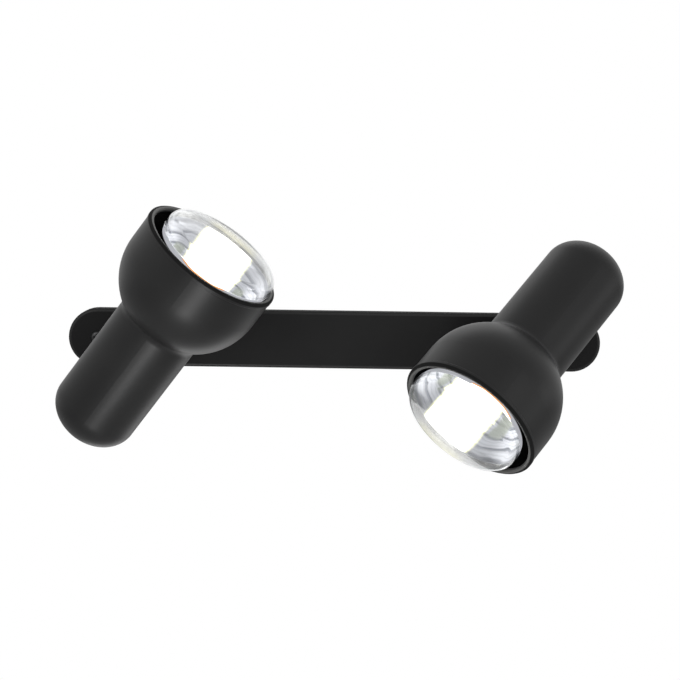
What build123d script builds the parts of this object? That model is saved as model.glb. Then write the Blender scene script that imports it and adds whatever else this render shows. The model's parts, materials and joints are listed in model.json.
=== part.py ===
# Two-head wall spotlight: a bar-shaped cover on the wall carries two heads that swivel and tilt.
# Frame: origin on the wall at the middle of the cover, +X along it, +Y into the wall, +Z up. Millimetres.
import os
from math import acos, cos, degrees, radians, sin, sqrt

from build123d import *

os.makedirs("parts", exist_ok=True)

# Aim of the heads at rest. swivel is measured in the wall's plane from +X towards +Z, tilt is the lift
# of the rim away from the wall, and lamp_shift is how far the lamp sits off the shell's axis.
heads = {
    "left": {"place": -1, "swivel": 53.2, "tilt": 17.2, "lamp_shift": 3.5},
    "right": {"place": 1, "swivel": 228.0, "tilt": 30.6, "lamp_shift": 1.7},
}

# Fits and clearances
running_fit = 0.06
face_play = 0.05
hole_clearance = 0.25
bracket_clearance = 0.1

# Cover: a pressed tray
cover_length = 356.0
cover_width = 38.0
cover_depth = 18.0
cover_sheet = 1.2
cover_edge_radius = 2.0

# Swivel stems stand this far in from the cover's ends
swivel_inset = 56.3

# Wall bracket: a strap that lies on the wall and rises to the cover's face at both ends
strap_width = 24.0
strap_sheet = 1.5
strap_rise_run = 9.0
strap_tab_inner_reach = 11.0
strap_tab_overhang = 8.0
strap_inner_bend = 1.5
slot_spacing = 140.0
slot_length = 14.0
slot_width = 5.0
cable_hole_radius = 7.0

# Grommet bush in the cable hole
grommet_bore_radius = 4.5
grommet_flange_radius = 9.5
grommet_flange_height = 2.0

# Screws: thread radius, head radius and head height
m3_radius = 1.5
m3_head_radius = 2.75
m3_head_height = 1.8
m4_radius = 2.0
m4_head_radius = 4.0
m4_head_height = 2.4
m5_radius = 2.5
m5_head_radius = 4.75
m5_head_height = 2.8
screw_head_rounding = 0.8
cover_screw_length = 8.0
earth_screw_offset = -36.0

# Three-pole terminal block
pole_count = 3
pole_pitch = 10.0
block_width = 18.0
block_height = 11.5
block_floor = 3.0
block_offset = 36.0
turret_radius = 3.6
turret_height = 1.5
insert_radius = 2.6
insert_bore_radius = 1.6
insert_length = 15.0
insert_screw_spacing = 9.0
insert_screw_stand = 1.0

# Hollow friction knuckle: two equal castings on one pivot screw
knuckle_reach = 14.8
knuckle_radius = 9.0
knuckle_half_width = 8.0
knuckle_neck_radius = 7.0
knuckle_flange_radius = 9.0
knuckle_flange_height = 2.0
knuckle_swing_clearance = 0.4
knuckle_chamfer = 0.6
chamber_radius = 7.3
chamber_depth = 5.6
pivot_boss_radius = 4.4
stem_radius = 5.0
stem_flats = 8.6
stem_bore_radius = 3.0
stem_end_stand = 0.9

# Pieces on the stems
seat_washer_thickness = 1.0
stop_washer_thickness = 1.0
stop_washer_radius = 8.4
stop_tongue_reach = 12.6
stop_tongue_width = 3.0
spring_washer_thickness = 1.3
spring_washer_radius = 8.2
spring_washer_split = 1.2
stem_nut_height = 3.0
stem_nut_flats = 14.0
stop_pin_radius = 1.5
stop_pin_height = 2.4
stop_pin_circle = 10.9
pivot_nut_flats = 8.0
pivot_nut_height = 4.0
pivot_collar_radius = 3.6
pivot_collar_height = 1.2
saddle_thickness = 0.8

# Head shell, measured from the rim backwards
bowl_radius = 47.2
bowl_straight = 22.5
bowl_arc_radius = 45.0
tube_radius = 28.3
tail_room = 38.2
tail_dome_depth = 22.2
shell_wall = 1.2
rim_roll_width = 4.0
rim_roll_height = 3.4
rim_roll_stand = 0.4
rim_roll_rounding = 1.6
rim_step_rounding = 0.3
neck_fillet = 6.5
pivot_to_rim = 91.0

# Lampholder and the bracket that carries it
holder_bracket_width = 20.0
holder_bracket_sheet = 1.5
holder_bracket_top = 11.0
holder_bracket_reach = 16.0
holder_bracket_bend = 2.5
holder_height = 45.0
holder_radius = 18.0
holder_waist_radius = 16.6
holder_base_height = 16.0
holder_mouth_height = 9.0
holder_floor = 12.0
holder_screw_spacing = 22.0
holder_screw_length = 7.0
contact_shell_radius = 14.5
contact_shell_wall = 0.5
contact_shell_height = 26.0
contact_shell_lift = 4.0
contact_strip_lift = 4.4
contact_strip_width = 6.0
contact_strip_sheet = 0.5
contact_strip_half_length = 7.0
contact_strip_foot_length = 3.5
contact_strip_rise_run = 1.2
contact_strip_bend = 0.8
terminal_level = 6.0
terminal_well_radius = 3.0
terminal_well_depth = 7.0
terminal_screw_length = 5.0

# Reflector lamp, 80 mm across and 115 mm long, with an E27 cap
lamp_rim_gap = 7.2
lamp_length = 115.0
lamp_front_stand = 13.4
lamp_front_sag = 5.4
lamp_front_corner = 6.0
glass_wall = 1.0
reflector_neck_radius = 17.5
reflector_neck_depth = 58.0
parabola_steps = (0, 0.15, 0.4, 0.7, 1)
lamp_neck_radius = 12.5
lamp_tip_height = 2.1
cap_radius = 13.2
cap_wall = 0.5
cap_height = 19.5
cap_overlap = 12.0
insulator_height = 5.0
insulator_end_radius = 5.6
tip_radius = 4.8
glass_stem_radius = 4.0
glass_stem_flare = 7.0
glass_stem_top = 62.0
support_wire_radius = 0.5
support_wire_spacing = 5.0
filament_depth = 52.0
filament_arc_radius = 8.0

# Places that follow from the sizes above
swivel_offset = cover_length / 2 - swivel_inset
cover_screw_offset = (cover_length - cover_width) / 2
cover_inner_depth = cover_depth - cover_sheet
pivot_height = cover_depth + seat_washer_thickness + knuckle_reach
pivot_to_axis = tube_radius + saddle_thickness + knuckle_reach
tube_inner_radius = tube_radius - shell_wall
bowl_arc_centre = bowl_radius - bowl_arc_radius
rim_radius = bowl_radius + rim_roll_stand
holder_leg_face = sqrt(tube_inner_radius**2 - (holder_bracket_width / 2) ** 2)
lamp_radius = bowl_radius - lamp_rim_gap
lamp_tip_depth = lamp_length - lamp_front_stand
lamp_neck_depth = lamp_tip_depth - lamp_tip_height - insulator_height - cap_height
holder_seat_depth = lamp_tip_depth + contact_strip_lift + holder_floor
head_length = holder_seat_depth + tail_room
tail_dome_start = head_length - tail_dome_depth
quarter_turn = 90
half_turn = 180


def save(piece, name):
    piece.part.label = name
    export_step(piece.part, f"parts/{name}.step")


def lengthwise(base):
    """The plane through a base plane's own X and Z."""
    return Plane(base.origin, x_dir=base.x_dir, z_dir=-base.y_dir)


def crosswise(base):
    """The plane through a base plane's own X, square to its Y, that looks along +Y."""
    return Plane(base.origin, x_dir=-base.x_dir, z_dir=base.y_dir)


def moved(base, x=0.0, y=0.0, z=0.0):
    """A base plane carried along its own axes."""
    return Plane(base.from_local_coords((x, y, z)), x_dir=base.x_dir, z_dir=base.z_dir)


def axis_of(base):
    return Axis(base.origin, base.z_dir)


def stem_section(clearance):
    """The stem's round section with two flats, grown by a clearance."""
    Circle(stem_radius + clearance)
    Rectangle(2 * (stem_radius + clearance), stem_flats + 2 * clearance, mode=Mode.INTERSECT)


def pan_head_screw(base, radius, length, head_radius, head_height):
    """A screw whose head stands on the base plane and whose shank runs behind it."""
    with BuildPart() as screw:
        with BuildSketch(base):
            Circle(head_radius)
        extrude(amount=head_height)
        fillet(screw.faces().sort_by(axis_of(base))[-1].edges(), screw_head_rounding)
        with BuildSketch(base):
            Circle(radius)
        extrude(amount=-length)
    return screw


def keyed_ring(base, outer_radius, thickness):
    """A flat ring on the base plane, with the stem's section as its hole."""
    with BuildPart() as ring:
        with BuildSketch(base):
            Circle(outer_radius)
        extrude(amount=thickness)
        with BuildSketch(base):
            stem_section(hole_clearance)
        extrude(amount=thickness, mode=Mode.SUBTRACT)
    return ring


def hex_nut(base, flats, height, bore_radius):
    with BuildPart() as nut:
        with BuildSketch(base):
            RegularPolygon(flats / 2, side_count=6, major_radius=False)
            Circle(bore_radius, mode=Mode.SUBTRACT)
        extrude(amount=height)
    return nut


def joined(parts, name):
    """Several separate solids kept as one node."""
    with BuildPart() as group:
        for part in parts:
            add(part)
    save(group, name)


def bent_strip(base, points, bend, sheet, width):
    """A bent strip of even thickness, to the left of a path drawn on the base plane."""
    with BuildPart() as strip:
        with BuildSketch(base):
            with BuildLine():
                FilletPolyline(*points, radius=bend)
                offset(amount=sheet, side=Side.LEFT)
            make_face()
        extrude(amount=width / 2, both=True)
    return strip


wall = Plane.XZ
cover_face = wall.offset(cover_depth)
cover_inner_face = wall.offset(cover_inner_depth)
strap_face = wall.offset(strap_sheet)

# Cover
with BuildPart() as cover:
    with BuildSketch(wall):
        SlotOverall(cover_length, cover_width)
    extrude(amount=cover_depth)
    fillet(cover.faces().sort_by(Axis.Y)[0].edges(), cover_edge_radius)
    offset(amount=-cover_sheet, openings=cover.faces().sort_by(Axis.Y)[-1])
    with BuildSketch(cover_face):
        with GridLocations(2 * swivel_offset, 0, 2, 1):
            Circle(stem_radius + running_fit)
        with GridLocations(2 * cover_screw_offset, 0, 2, 1):
            Circle(m4_radius + hole_clearance)
    extrude(amount=-cover_sheet, mode=Mode.SUBTRACT)
save(cover, "cover")

# Wall bracket
strap_bend = strap_sheet + strap_inner_bend
tab_outer = cover_screw_offset + strap_tab_overhang
tab_inner = cover_screw_offset - strap_tab_inner_reach
foot_end = tab_inner - strap_rise_run
strap_path = (
    (-tab_outer, strap_sheet - cover_inner_depth),
    (-tab_inner, strap_sheet - cover_inner_depth),
    (-foot_end, 0),
    (foot_end, 0),
    (tab_inner, strap_sheet - cover_inner_depth),
    (tab_outer, strap_sheet - cover_inner_depth),
)
strap = bent_strip(Plane.XY, strap_path[::-1], strap_bend, strap_sheet, strap_width)
with BuildPart() as wall_bracket:
    add(strap.part)
    with BuildSketch(strap_face):
        with GridLocations(slot_spacing, 0, 2, 1):
            SlotOverall(slot_length, slot_width)
        Circle(cable_hole_radius)
        with Locations((earth_screw_offset, 0)):
            Circle(m4_radius)
        with Locations((block_offset + pole_pitch / 2, 0)):
            Circle(m3_radius)
    extrude(amount=-strap_sheet, mode=Mode.SUBTRACT)
    with BuildSketch(cover_inner_face):
        with GridLocations(2 * cover_screw_offset, 0, 2, 1):
            Circle(m4_radius)
    extrude(amount=-strap_sheet, mode=Mode.SUBTRACT)
save(wall_bracket, "wall_bracket")

# Screws that hold the cover to the bracket's raised ends
cover_screws = [
    pan_head_screw(moved(cover_face, x=x), m4_radius, cover_screw_length, m4_head_radius, m4_head_height).part
    for x in (-cover_screw_offset, cover_screw_offset)
]
joined(cover_screws, "cover_screws")

# Earth screw on the bracket
earth_place = moved(strap_face, x=earth_screw_offset)
earth_screw = pan_head_screw(earth_place, m4_radius, strap_sheet, m4_head_radius, m4_head_height)
save(earth_screw, "earth_screw")

# Grommet bush: a spigot in the cable hole and a rounded flange on the strap
with BuildPart() as cable_grommet:
    with BuildSketch(wall):
        Circle(cable_hole_radius)
    extrude(amount=strap_sheet)
    with BuildSketch(strap_face):
        Circle(grommet_flange_radius)
    extrude(amount=grommet_flange_height)
    fillet(cable_grommet.faces().sort_by(Axis.Y)[0].edges(), grommet_flange_height / 2)
    with BuildSketch(wall):
        Circle(grommet_bore_radius)
    extrude(amount=strap_sheet + grommet_flange_height, mode=Mode.SUBTRACT)
save(cable_grommet, "cable_grommet")

# Terminal block: brass inserts lie across the strap, with two screws each
block_place = moved(strap_face, x=block_offset)
insert_height = block_floor + insert_radius
with BuildPart() as terminal_block:
    with BuildSketch(block_place):
        Rectangle(pole_count * pole_pitch, block_width)
    extrude(amount=block_height)
    with BuildSketch(block_place.offset(block_height)):
        with GridLocations(pole_pitch, insert_screw_spacing, pole_count, 2):
            Circle(turret_radius)
    extrude(amount=turret_height)
    with BuildSketch(Plane(block_place.origin, x_dir=(1, 0, 0), z_dir=(0, 0, 1))):
        with GridLocations(pole_pitch, 0, pole_count, 1):
            with Locations((0, -insert_height)):
                Circle(insert_radius)
    extrude(amount=block_width / 2, both=True, mode=Mode.SUBTRACT)
    with BuildSketch(block_place.offset(block_height + turret_height)):
        with GridLocations(pole_pitch, insert_screw_spacing, pole_count, 2):
            Circle(m3_radius + hole_clearance)
    extrude(amount=-(block_height + turret_height - insert_height), mode=Mode.SUBTRACT)
    with BuildSketch(block_place.offset(block_height)):
        with Locations((pole_pitch / 2, 0)):
            Circle(m3_radius + hole_clearance)
    extrude(amount=-block_height, mode=Mode.SUBTRACT)
save(terminal_block, "terminal_block")

with BuildPart() as terminal_inserts:
    with BuildSketch(Plane(block_place.origin, x_dir=(1, 0, 0), z_dir=(0, 0, 1))):
        with GridLocations(pole_pitch, 0, pole_count, 1):
            with Locations((0, -insert_height)):
                Circle(insert_radius)
                Circle(insert_bore_radius, mode=Mode.SUBTRACT)
    extrude(amount=insert_length / 2, both=True)
    with BuildSketch(block_place.offset(insert_height + insert_radius)):
        with GridLocations(pole_pitch, insert_screw_spacing, pole_count, 2):
            Circle(m3_radius)
    extrude(amount=-insert_radius, mode=Mode.SUBTRACT)
save(terminal_inserts, "terminal_inserts")

with BuildPart() as terminal_screws:
    with BuildSketch(block_place.offset(insert_height + insert_screw_stand)):
        with GridLocations(pole_pitch, insert_screw_spacing, pole_count, 2):
            Circle(m3_radius)
    extrude(amount=block_height - insert_height - insert_screw_stand)
save(terminal_screws, "terminal_screws")

block_screw_place = moved(block_place.offset(block_height), x=pole_pitch / 2)
block_screw_length = block_height + strap_sheet
block_screw = pan_head_screw(block_screw_place, m3_radius, block_screw_length, m3_head_radius, m3_head_height)
save(block_screw, "terminal_block_screw")

# Stop pins inside the cover, below the left stem and above the right one
with BuildPart() as swivel_stop_pins:
    with BuildSketch(cover_inner_face):
        with Locations((-swivel_offset, -stop_pin_circle), (swivel_offset, stop_pin_circle)):
            Circle(stop_pin_radius)
    extrude(amount=-stop_pin_height)
save(swivel_stop_pins, "swivel_stop_pins")


def knuckle_half(pivot, stem_length, pivot_hole_radius):
    """One knuckle casting. The pivot plane lies on the pivot screw, its Z points to the casting's seat
    and its Y along the screw, to the side that this half takes."""
    swing = crosswise(pivot)
    stem_end = knuckle_reach + stem_length
    bore_end = pivot_boss_radius + stem_bore_radius / 2
    with BuildPart() as half:
        with BuildSketch(swing.offset(face_play / 2)):
            Circle(knuckle_radius)
        extrude(amount=knuckle_half_width - face_play / 2)
        chamfer(half.faces().sort_by(axis_of(swing))[-1].edges(), knuckle_chamfer)
        with BuildSketch(pivot):
            Circle(knuckle_neck_radius)
        extrude(amount=knuckle_reach)
        with BuildSketch(pivot.offset(knuckle_reach)):
            Circle(knuckle_flange_radius)
        extrude(amount=-knuckle_flange_height)
        with BuildSketch(swing.offset(face_play / 2)):
            Circle(knuckle_radius + knuckle_swing_clearance)
        extrude(amount=-2 * knuckle_half_width, mode=Mode.SUBTRACT)
        with BuildSketch(swing.offset(face_play / 2)):
            Circle(chamber_radius)
            Circle(pivot_boss_radius, mode=Mode.SUBTRACT)
        extrude(amount=chamber_depth, mode=Mode.SUBTRACT)
        with BuildSketch(swing):
            Circle(pivot_hole_radius)
        extrude(amount=knuckle_half_width, mode=Mode.SUBTRACT)
        with BuildSketch(pivot.offset(knuckle_reach)):
            stem_section(0)
        extrude(amount=stem_length)
        with BuildSketch(pivot.offset(stem_end)):
            Circle(stem_bore_radius)
        extrude(amount=bore_end - stem_end, mode=Mode.SUBTRACT)
    return half


def build_swivel(side, lower):
    """The pieces that turn on the cover. The lower plane lies on the pivot, its Z towards the wall."""
    stack = knuckle_reach + seat_washer_thickness + cover_sheet + face_play
    nut_distance = stack + stop_washer_thickness + spring_washer_thickness
    stem_length = nut_distance + stem_nut_height + stem_end_stand - knuckle_reach
    save(knuckle_half(lower, stem_length, m5_radius), f"{side}_knuckle_base")

    seat = lower.offset(knuckle_reach)
    seat_washer = keyed_ring(seat, knuckle_flange_radius, seat_washer_thickness - face_play)
    save(seat_washer, f"{side}_seat_washer")

    # The tongue points the way the head points, and meets the stop pin at both ends of the swing
    with BuildPart() as stop_washer:
        with BuildSketch(lower.offset(stack)):
            Circle(stop_washer_radius)
            with Locations((stop_tongue_reach / 2, 0)):
                Rectangle(stop_tongue_reach, stop_tongue_width)
        extrude(amount=stop_washer_thickness)
        with BuildSketch(lower.offset(stack)):
            stem_section(hole_clearance)
        extrude(amount=stop_washer_thickness, mode=Mode.SUBTRACT)
    save(stop_washer, f"{side}_stop_washer")

    with BuildPart() as spring_washer:
        with BuildSketch(lower.offset(stack + stop_washer_thickness)):
            Circle(spring_washer_radius)
            Circle(stem_radius + hole_clearance, mode=Mode.SUBTRACT)
            with Locations((0, spring_washer_radius)):
                Rectangle(spring_washer_split, spring_washer_radius, mode=Mode.SUBTRACT)
        extrude(amount=spring_washer_thickness)
    save(spring_washer, f"{side}_spring_washer")

    swivel_nut = hex_nut(lower.offset(nut_distance), stem_nut_flats, stem_nut_height, stem_radius)
    save(swivel_nut, f"{side}_swivel_nut")

    # Pivot screw: head on the lower half's side, nut against the upper half
    screw_place = crosswise(lower).offset(knuckle_half_width)
    nut_face = knuckle_half_width + face_play
    screw_length = knuckle_half_width + nut_face + pivot_nut_height + pivot_collar_height
    pivot_screw = pan_head_screw(screw_place, m5_radius, screw_length, m5_head_radius, m5_head_height)
    save(pivot_screw, f"{side}_pivot_screw")

    with BuildPart() as pivot_nut:
        with BuildSketch(crosswise(lower).offset(-nut_face)):
            RegularPolygon(pivot_nut_flats / 2, side_count=6, major_radius=False)
        extrude(amount=-pivot_nut_height)
        with BuildSketch(crosswise(lower).offset(-nut_face - pivot_nut_height)):
            Circle(pivot_collar_radius)
        extrude(amount=-pivot_collar_height)
        with BuildSketch(crosswise(lower).offset(-nut_face)):
            Circle(m5_radius)
        extrude(amount=-pivot_nut_height - pivot_collar_height, mode=Mode.SUBTRACT)
    save(pivot_nut, f"{side}_pivot_nut")


def shell_neck(inset):
    """Where the tube meets the bowl, on an outline drawn this far inside the outer surface."""
    bowl_arc = bowl_arc_radius - inset
    tube = tube_radius - inset
    return tube, -bowl_straight - sqrt(bowl_arc**2 - (tube - bowl_arc_centre) ** 2)


def shell_outline(inset):
    """Half of the shell's outline, from the tail to the rim, this far inside its outer surface."""
    tube, neck = shell_neck(inset)
    dome = tail_dome_depth - inset
    bowl = bowl_radius - inset
    bowl_arc = bowl_arc_radius - inset
    sweep_angle = degrees(acos((tube - bowl_arc_centre) / bowl_arc))
    with BuildSketch() as outline:
        with BuildLine():
            EllipticalCenterArc(
                (0, -tail_dome_start), tube, dome, start_angle=-quarter_turn, arc_size=quarter_turn
            )
            Line((tube, -tail_dome_start), (tube, neck))
            CenterArc((bowl_arc_centre, -bowl_straight), bowl_arc, -sweep_angle, sweep_angle)
            Polyline((bowl, -bowl_straight), (bowl, 0), (0, 0), (0, inset - head_length))
        make_face()
        fillet(outline.vertices().sort_by_distance((tube, neck))[0], neck_fillet + inset)
    return outline.sketch


def build_shell(side, head, upper):
    """The one-piece shell, turned about the head's axis: tail dome, tube, neck, bowl and rolled rim."""
    rim_inner_radius = rim_radius - rim_roll_width
    rim_corners = {
        (rim_radius, 0): rim_roll_rounding,
        (rim_radius, -rim_roll_height): rim_step_rounding,
        (rim_inner_radius, 0): rim_roll_rounding,
        (rim_inner_radius, -rim_roll_height): rim_roll_rounding,
    }
    with BuildPart() as shell:
        with BuildSketch(lengthwise(head)) as section:
            add(shell_outline(0))
            add(shell_outline(shell_wall), mode=Mode.SUBTRACT)
            with Locations((rim_radius - rim_roll_width / 2, -rim_roll_height / 2)):
                Rectangle(rim_roll_width, rim_roll_height)
            for corner, rounding in rim_corners.items():
                fillet(section.vertices().sort_by_distance(corner)[0], rounding)
        revolve(axis=axis_of(head))
        with BuildSketch(upper.offset(knuckle_reach)):
            stem_section(hole_clearance)
        extrude(amount=pivot_to_axis - knuckle_reach, mode=Mode.SUBTRACT)
    save(shell, f"{side}_head_shell")


def build_head_mount(side, head, upper, lamp):
    """The upper half of the knuckle and what it holds inside the tube."""
    leg_face = holder_leg_face - bracket_clearance
    leg_distance = pivot_to_axis - leg_face
    nut_distance = leg_distance + holder_bracket_sheet
    stem_length = nut_distance + stem_nut_height + stem_end_stand - knuckle_reach
    save(knuckle_half(upper, stem_length, m5_radius + running_fit), f"{side}_knuckle_top")

    saddle_height = pivot_to_axis - knuckle_reach - sqrt(tube_radius**2 - knuckle_flange_radius**2)
    saddle = keyed_ring(upper.offset(knuckle_reach), knuckle_flange_radius, saddle_height)
    with BuildPart() as saddle_washer:
        add(saddle.part)
        with BuildSketch(moved(head, z=-pivot_to_rim - knuckle_flange_radius)):
            Circle(tube_radius)
        extrude(amount=2 * knuckle_flange_radius, mode=Mode.SUBTRACT)
    save(saddle_washer, f"{side}_saddle_washer")

    nut = hex_nut(upper.offset(nut_distance), stem_nut_flats, stem_nut_height, stem_radius)
    save(nut, f"{side}_stem_nut")

    bracket_path = (
        (-leg_face, holder_bracket_top - pivot_to_rim),
        (-leg_face, -holder_seat_depth - holder_bracket_sheet),
        (holder_bracket_reach, -holder_seat_depth - holder_bracket_sheet),
    )
    strip = bent_strip(
        lengthwise(head), bracket_path, holder_bracket_bend, holder_bracket_sheet, holder_bracket_width
    )
    with BuildPart() as bracket:
        add(strip.part)
        with BuildSketch(upper.offset(leg_distance)):
            stem_section(hole_clearance)
        extrude(amount=holder_bracket_sheet, mode=Mode.SUBTRACT)
        with BuildSketch(moved(lamp, z=-holder_seat_depth)):
            with GridLocations(holder_screw_spacing, 0, 2, 1):
                Circle(m4_radius + hole_clearance)
        extrude(amount=-holder_bracket_sheet, mode=Mode.SUBTRACT)
    save(bracket, f"{side}_lampholder_bracket")


def build_lampholder(side, lamp):
    """The lampholder stands on its seat, round the lamp's axis."""
    seat = moved(lamp, z=-holder_seat_depth)
    behind = Plane(seat.origin, x_dir=seat.x_dir, z_dir=-seat.z_dir).offset(holder_bracket_sheet)
    screws = [
        pan_head_screw(place, m4_radius, holder_screw_length, m4_head_radius, m4_head_height).part
        for place in (moved(behind, x=-holder_screw_spacing / 2), moved(behind, x=holder_screw_spacing / 2))
    ]
    joined(screws, f"{side}_lampholder_screws")

    waist_step = holder_radius - holder_waist_radius
    mouth_base = holder_height - holder_mouth_height
    bore = contact_shell_radius + hole_clearance
    terminal_height = moved(seat, z=terminal_level).origin
    terminals = [Plane(terminal_height, x_dir=seat.x_dir, z_dir=seat.y_dir * way) for way in (-1, 1)]
    with BuildPart() as holder:
        with BuildSketch(lengthwise(seat)):
            with BuildLine():
                Polyline(
                    (0, 0),
                    (holder_radius, 0),
                    (holder_radius, holder_base_height),
                    (holder_waist_radius, holder_base_height + waist_step),
                    (holder_waist_radius, mouth_base - waist_step),
                    (holder_radius, mouth_base),
                    (holder_radius, holder_height),
                    (bore, holder_height),
                    (bore, holder_floor),
                    (0, holder_floor),
                    close=True,
                )
            make_face()
        revolve(axis=axis_of(seat))
        with BuildSketch(seat):
            with GridLocations(holder_screw_spacing, 0, 2, 1):
                Circle(m4_radius)
        extrude(amount=holder_screw_length - holder_bracket_sheet, mode=Mode.SUBTRACT)
        for terminal in terminals:
            with BuildSketch(terminal.offset(holder_radius)):
                Circle(terminal_well_radius)
            extrude(amount=-terminal_well_depth, mode=Mode.SUBTRACT)
            with BuildSketch(terminal.offset(holder_radius - terminal_well_depth)):
                Circle(m3_radius)
            extrude(amount=-terminal_screw_length, mode=Mode.SUBTRACT)
    save(holder, f"{side}_lampholder")

    well_floors = [terminal.offset(holder_radius - terminal_well_depth) for terminal in terminals]
    terminal_screws = [
        pan_head_screw(place, m3_radius, terminal_screw_length, m3_head_radius, m3_head_height).part
        for place in well_floors
    ]
    joined(terminal_screws, f"{side}_lampholder_terminals")

    with BuildPart() as contact_shell:
        with BuildSketch(seat.offset(holder_floor + contact_shell_lift)):
            Circle(contact_shell_radius)
            Circle(contact_shell_radius - contact_shell_wall, mode=Mode.SUBTRACT)
        extrude(amount=contact_shell_height)
    save(contact_shell, f"{side}_lampholder_shell")

    strip_top = holder_floor + contact_strip_lift - contact_strip_sheet
    strip_rise = contact_strip_foot_length - contact_strip_half_length
    strip_path = (
        (-contact_strip_half_length, holder_floor),
        (strip_rise, holder_floor),
        (strip_rise + contact_strip_rise_run, strip_top),
        (contact_strip_half_length, strip_top),
    )
    strip_place = lengthwise(seat)
    strip = bent_strip(strip_place, strip_path, contact_strip_bend, contact_strip_sheet, contact_strip_width)
    save(strip, f"{side}_lampholder_contact")


def reflector_outline(inset):
    """Half of the reflector's outline: straight neck, flare and a parabola to the widest ring."""
    opening = lamp_radius**2 - reflector_neck_radius**2
    parabola = [
        (sqrt(reflector_neck_radius**2 + opening * step) - inset, reflector_neck_depth * (step - 1))
        for step in parabola_steps
    ]
    parabola_start = (opening, 2 * reflector_neck_radius * reflector_neck_depth)
    neck = lamp_neck_radius - inset
    neck_end = lamp_neck_depth + cap_overlap
    with BuildSketch() as outline:
        with BuildLine():
            Line((neck, -neck_end), (neck, -lamp_neck_depth))
            Spline((neck, -lamp_neck_depth), parabola[0], tangents=[(0, 1), parabola_start])
            Spline(*parabola)
            Polyline(parabola[-1], (0, 0), (0, -neck_end), (neck, -neck_end))
        make_face()
    return outline.sketch


def front_outline(inset):
    """Half of the clear front's outline: a short straight side, a rounded corner and a shallow dome."""
    radius = lamp_radius - inset
    top = (0, lamp_front_stand - inset)
    corner = (radius, lamp_front_stand - lamp_front_sag - inset)
    with BuildSketch() as outline:
        with BuildLine():
            TangentArc(top, corner, tangent=(1, 0))
            Polyline(corner, (radius, 0), (0, 0), top)
        make_face()
        fillet(outline.vertices().sort_by_distance(corner)[0], lamp_front_corner - inset)
    return outline.sketch


def build_lamp(side, lamp):
    """The reflector lamp round its own axis, with its widest ring at the shell's rim."""
    neck_end = lamp_neck_depth + cap_overlap
    cap_end = lamp_neck_depth + cap_height
    with BuildPart() as reflector:
        with BuildSketch(lengthwise(lamp)):
            add(reflector_outline(0))
            add(reflector_outline(glass_wall), mode=Mode.SUBTRACT)
        revolve(axis=axis_of(lamp))
    save(reflector, f"{side}_lamp_reflector")

    with BuildPart() as front:
        with BuildSketch(lengthwise(lamp)):
            add(front_outline(0))
            add(front_outline(glass_wall), mode=Mode.SUBTRACT)
        revolve(axis=axis_of(lamp))
    save(front, f"{side}_lamp_front")

    with BuildPart() as cap:
        with BuildSketch(moved(lamp, z=-cap_end)):
            Circle(cap_radius)
        extrude(amount=cap_height)
        with BuildSketch(moved(lamp, z=-cap_end + cap_wall)):
            Circle(cap_radius - cap_wall)
        extrude(amount=cap_height, mode=Mode.SUBTRACT)
        with BuildSketch(moved(lamp, z=-cap_end)):
            Circle(insulator_end_radius)
        extrude(amount=cap_wall, mode=Mode.SUBTRACT)
    save(cap, f"{side}_lamp_cap")

    with BuildPart() as insulator:
        with BuildSketch(moved(lamp, z=-cap_end)):
            Circle(cap_radius - cap_wall)
        with BuildSketch(moved(lamp, z=-cap_end - insulator_height)):
            Circle(insulator_end_radius)
        loft()
    save(insulator, f"{side}_lamp_insulator")

    with BuildPart() as tip:
        with BuildSketch(moved(lamp, z=-lamp_tip_depth)):
            Circle(tip_radius)
        extrude(amount=lamp_tip_height)
        fillet(tip.faces().sort_by(axis_of(lamp))[0].edges(), lamp_tip_height / 2)
    save(tip, f"{side}_lamp_tip")

    with BuildPart() as glass_stem:
        with BuildSketch(moved(lamp, z=-neck_end)):
            Circle(lamp_neck_radius - glass_wall - hole_clearance)
        with BuildSketch(moved(lamp, z=-neck_end + glass_stem_flare)):
            Circle(glass_stem_radius)
        loft()
        with BuildSketch(moved(lamp, z=-neck_end + glass_stem_flare)):
            Circle(glass_stem_radius)
        extrude(amount=neck_end - glass_stem_flare - glass_stem_top)
    save(glass_stem, f"{side}_lamp_stem")

    # Two support wires rise from the stem to the ends of a half ring of filament
    ring = moved(lamp, z=-filament_depth)
    wire_foot = moved(lamp, z=support_wire_radius - glass_stem_top)
    with BuildPart() as filament:
        with BuildSketch(lengthwise(ring)):
            with Locations((filament_arc_radius, 0)):
                Circle(support_wire_radius)
        revolve(axis=axis_of(ring), revolution_arc=half_turn)
        for way in (-1, 1):
            foot = wire_foot.from_local_coords((way * support_wire_spacing / 2, 0, 0))
            head_end = ring.from_local_coords((way * filament_arc_radius, 0, 0))
            with BuildSketch(Plane(foot, z_dir=head_end - foot)):
                Circle(support_wire_radius)
            extrude(amount=(head_end - foot).length)
    save(filament, f"{side}_lamp_filament")


for side, aim in heads.items():
    swivel = radians(aim["swivel"])
    tilt = radians(aim["tilt"])
    stem = Plane(
        (aim["place"] * swivel_offset, 0, 0), x_dir=(-cos(swivel), 0, -sin(swivel)), z_dir=(0, -1, 0)
    ).offset(pivot_height)
    ahead = stem.z_dir * sin(tilt) - stem.x_dir * cos(tilt)
    front = stem.x_dir * sin(tilt) + stem.z_dir * cos(tilt)
    rim_centre = stem.origin + ahead * pivot_to_rim + front * pivot_to_axis
    head = Plane(rim_centre, x_dir=front, z_dir=ahead)
    lamp = moved(head, y=aim["lamp_shift"])
    lower = Plane(stem.origin, x_dir=-stem.x_dir, z_dir=-stem.z_dir)
    upper = Plane(stem.origin, x_dir=ahead, z_dir=front)
    build_swivel(side, lower)
    build_shell(side, head, upper)
    build_head_mount(side, head, upper, lamp)
    build_lampholder(side, lamp)
    build_lamp(side, lamp)
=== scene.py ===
import json
from math import atan2, cos, pi, radians, sin, sqrt

import bpy
from mathutils import Matrix, Vector


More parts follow.
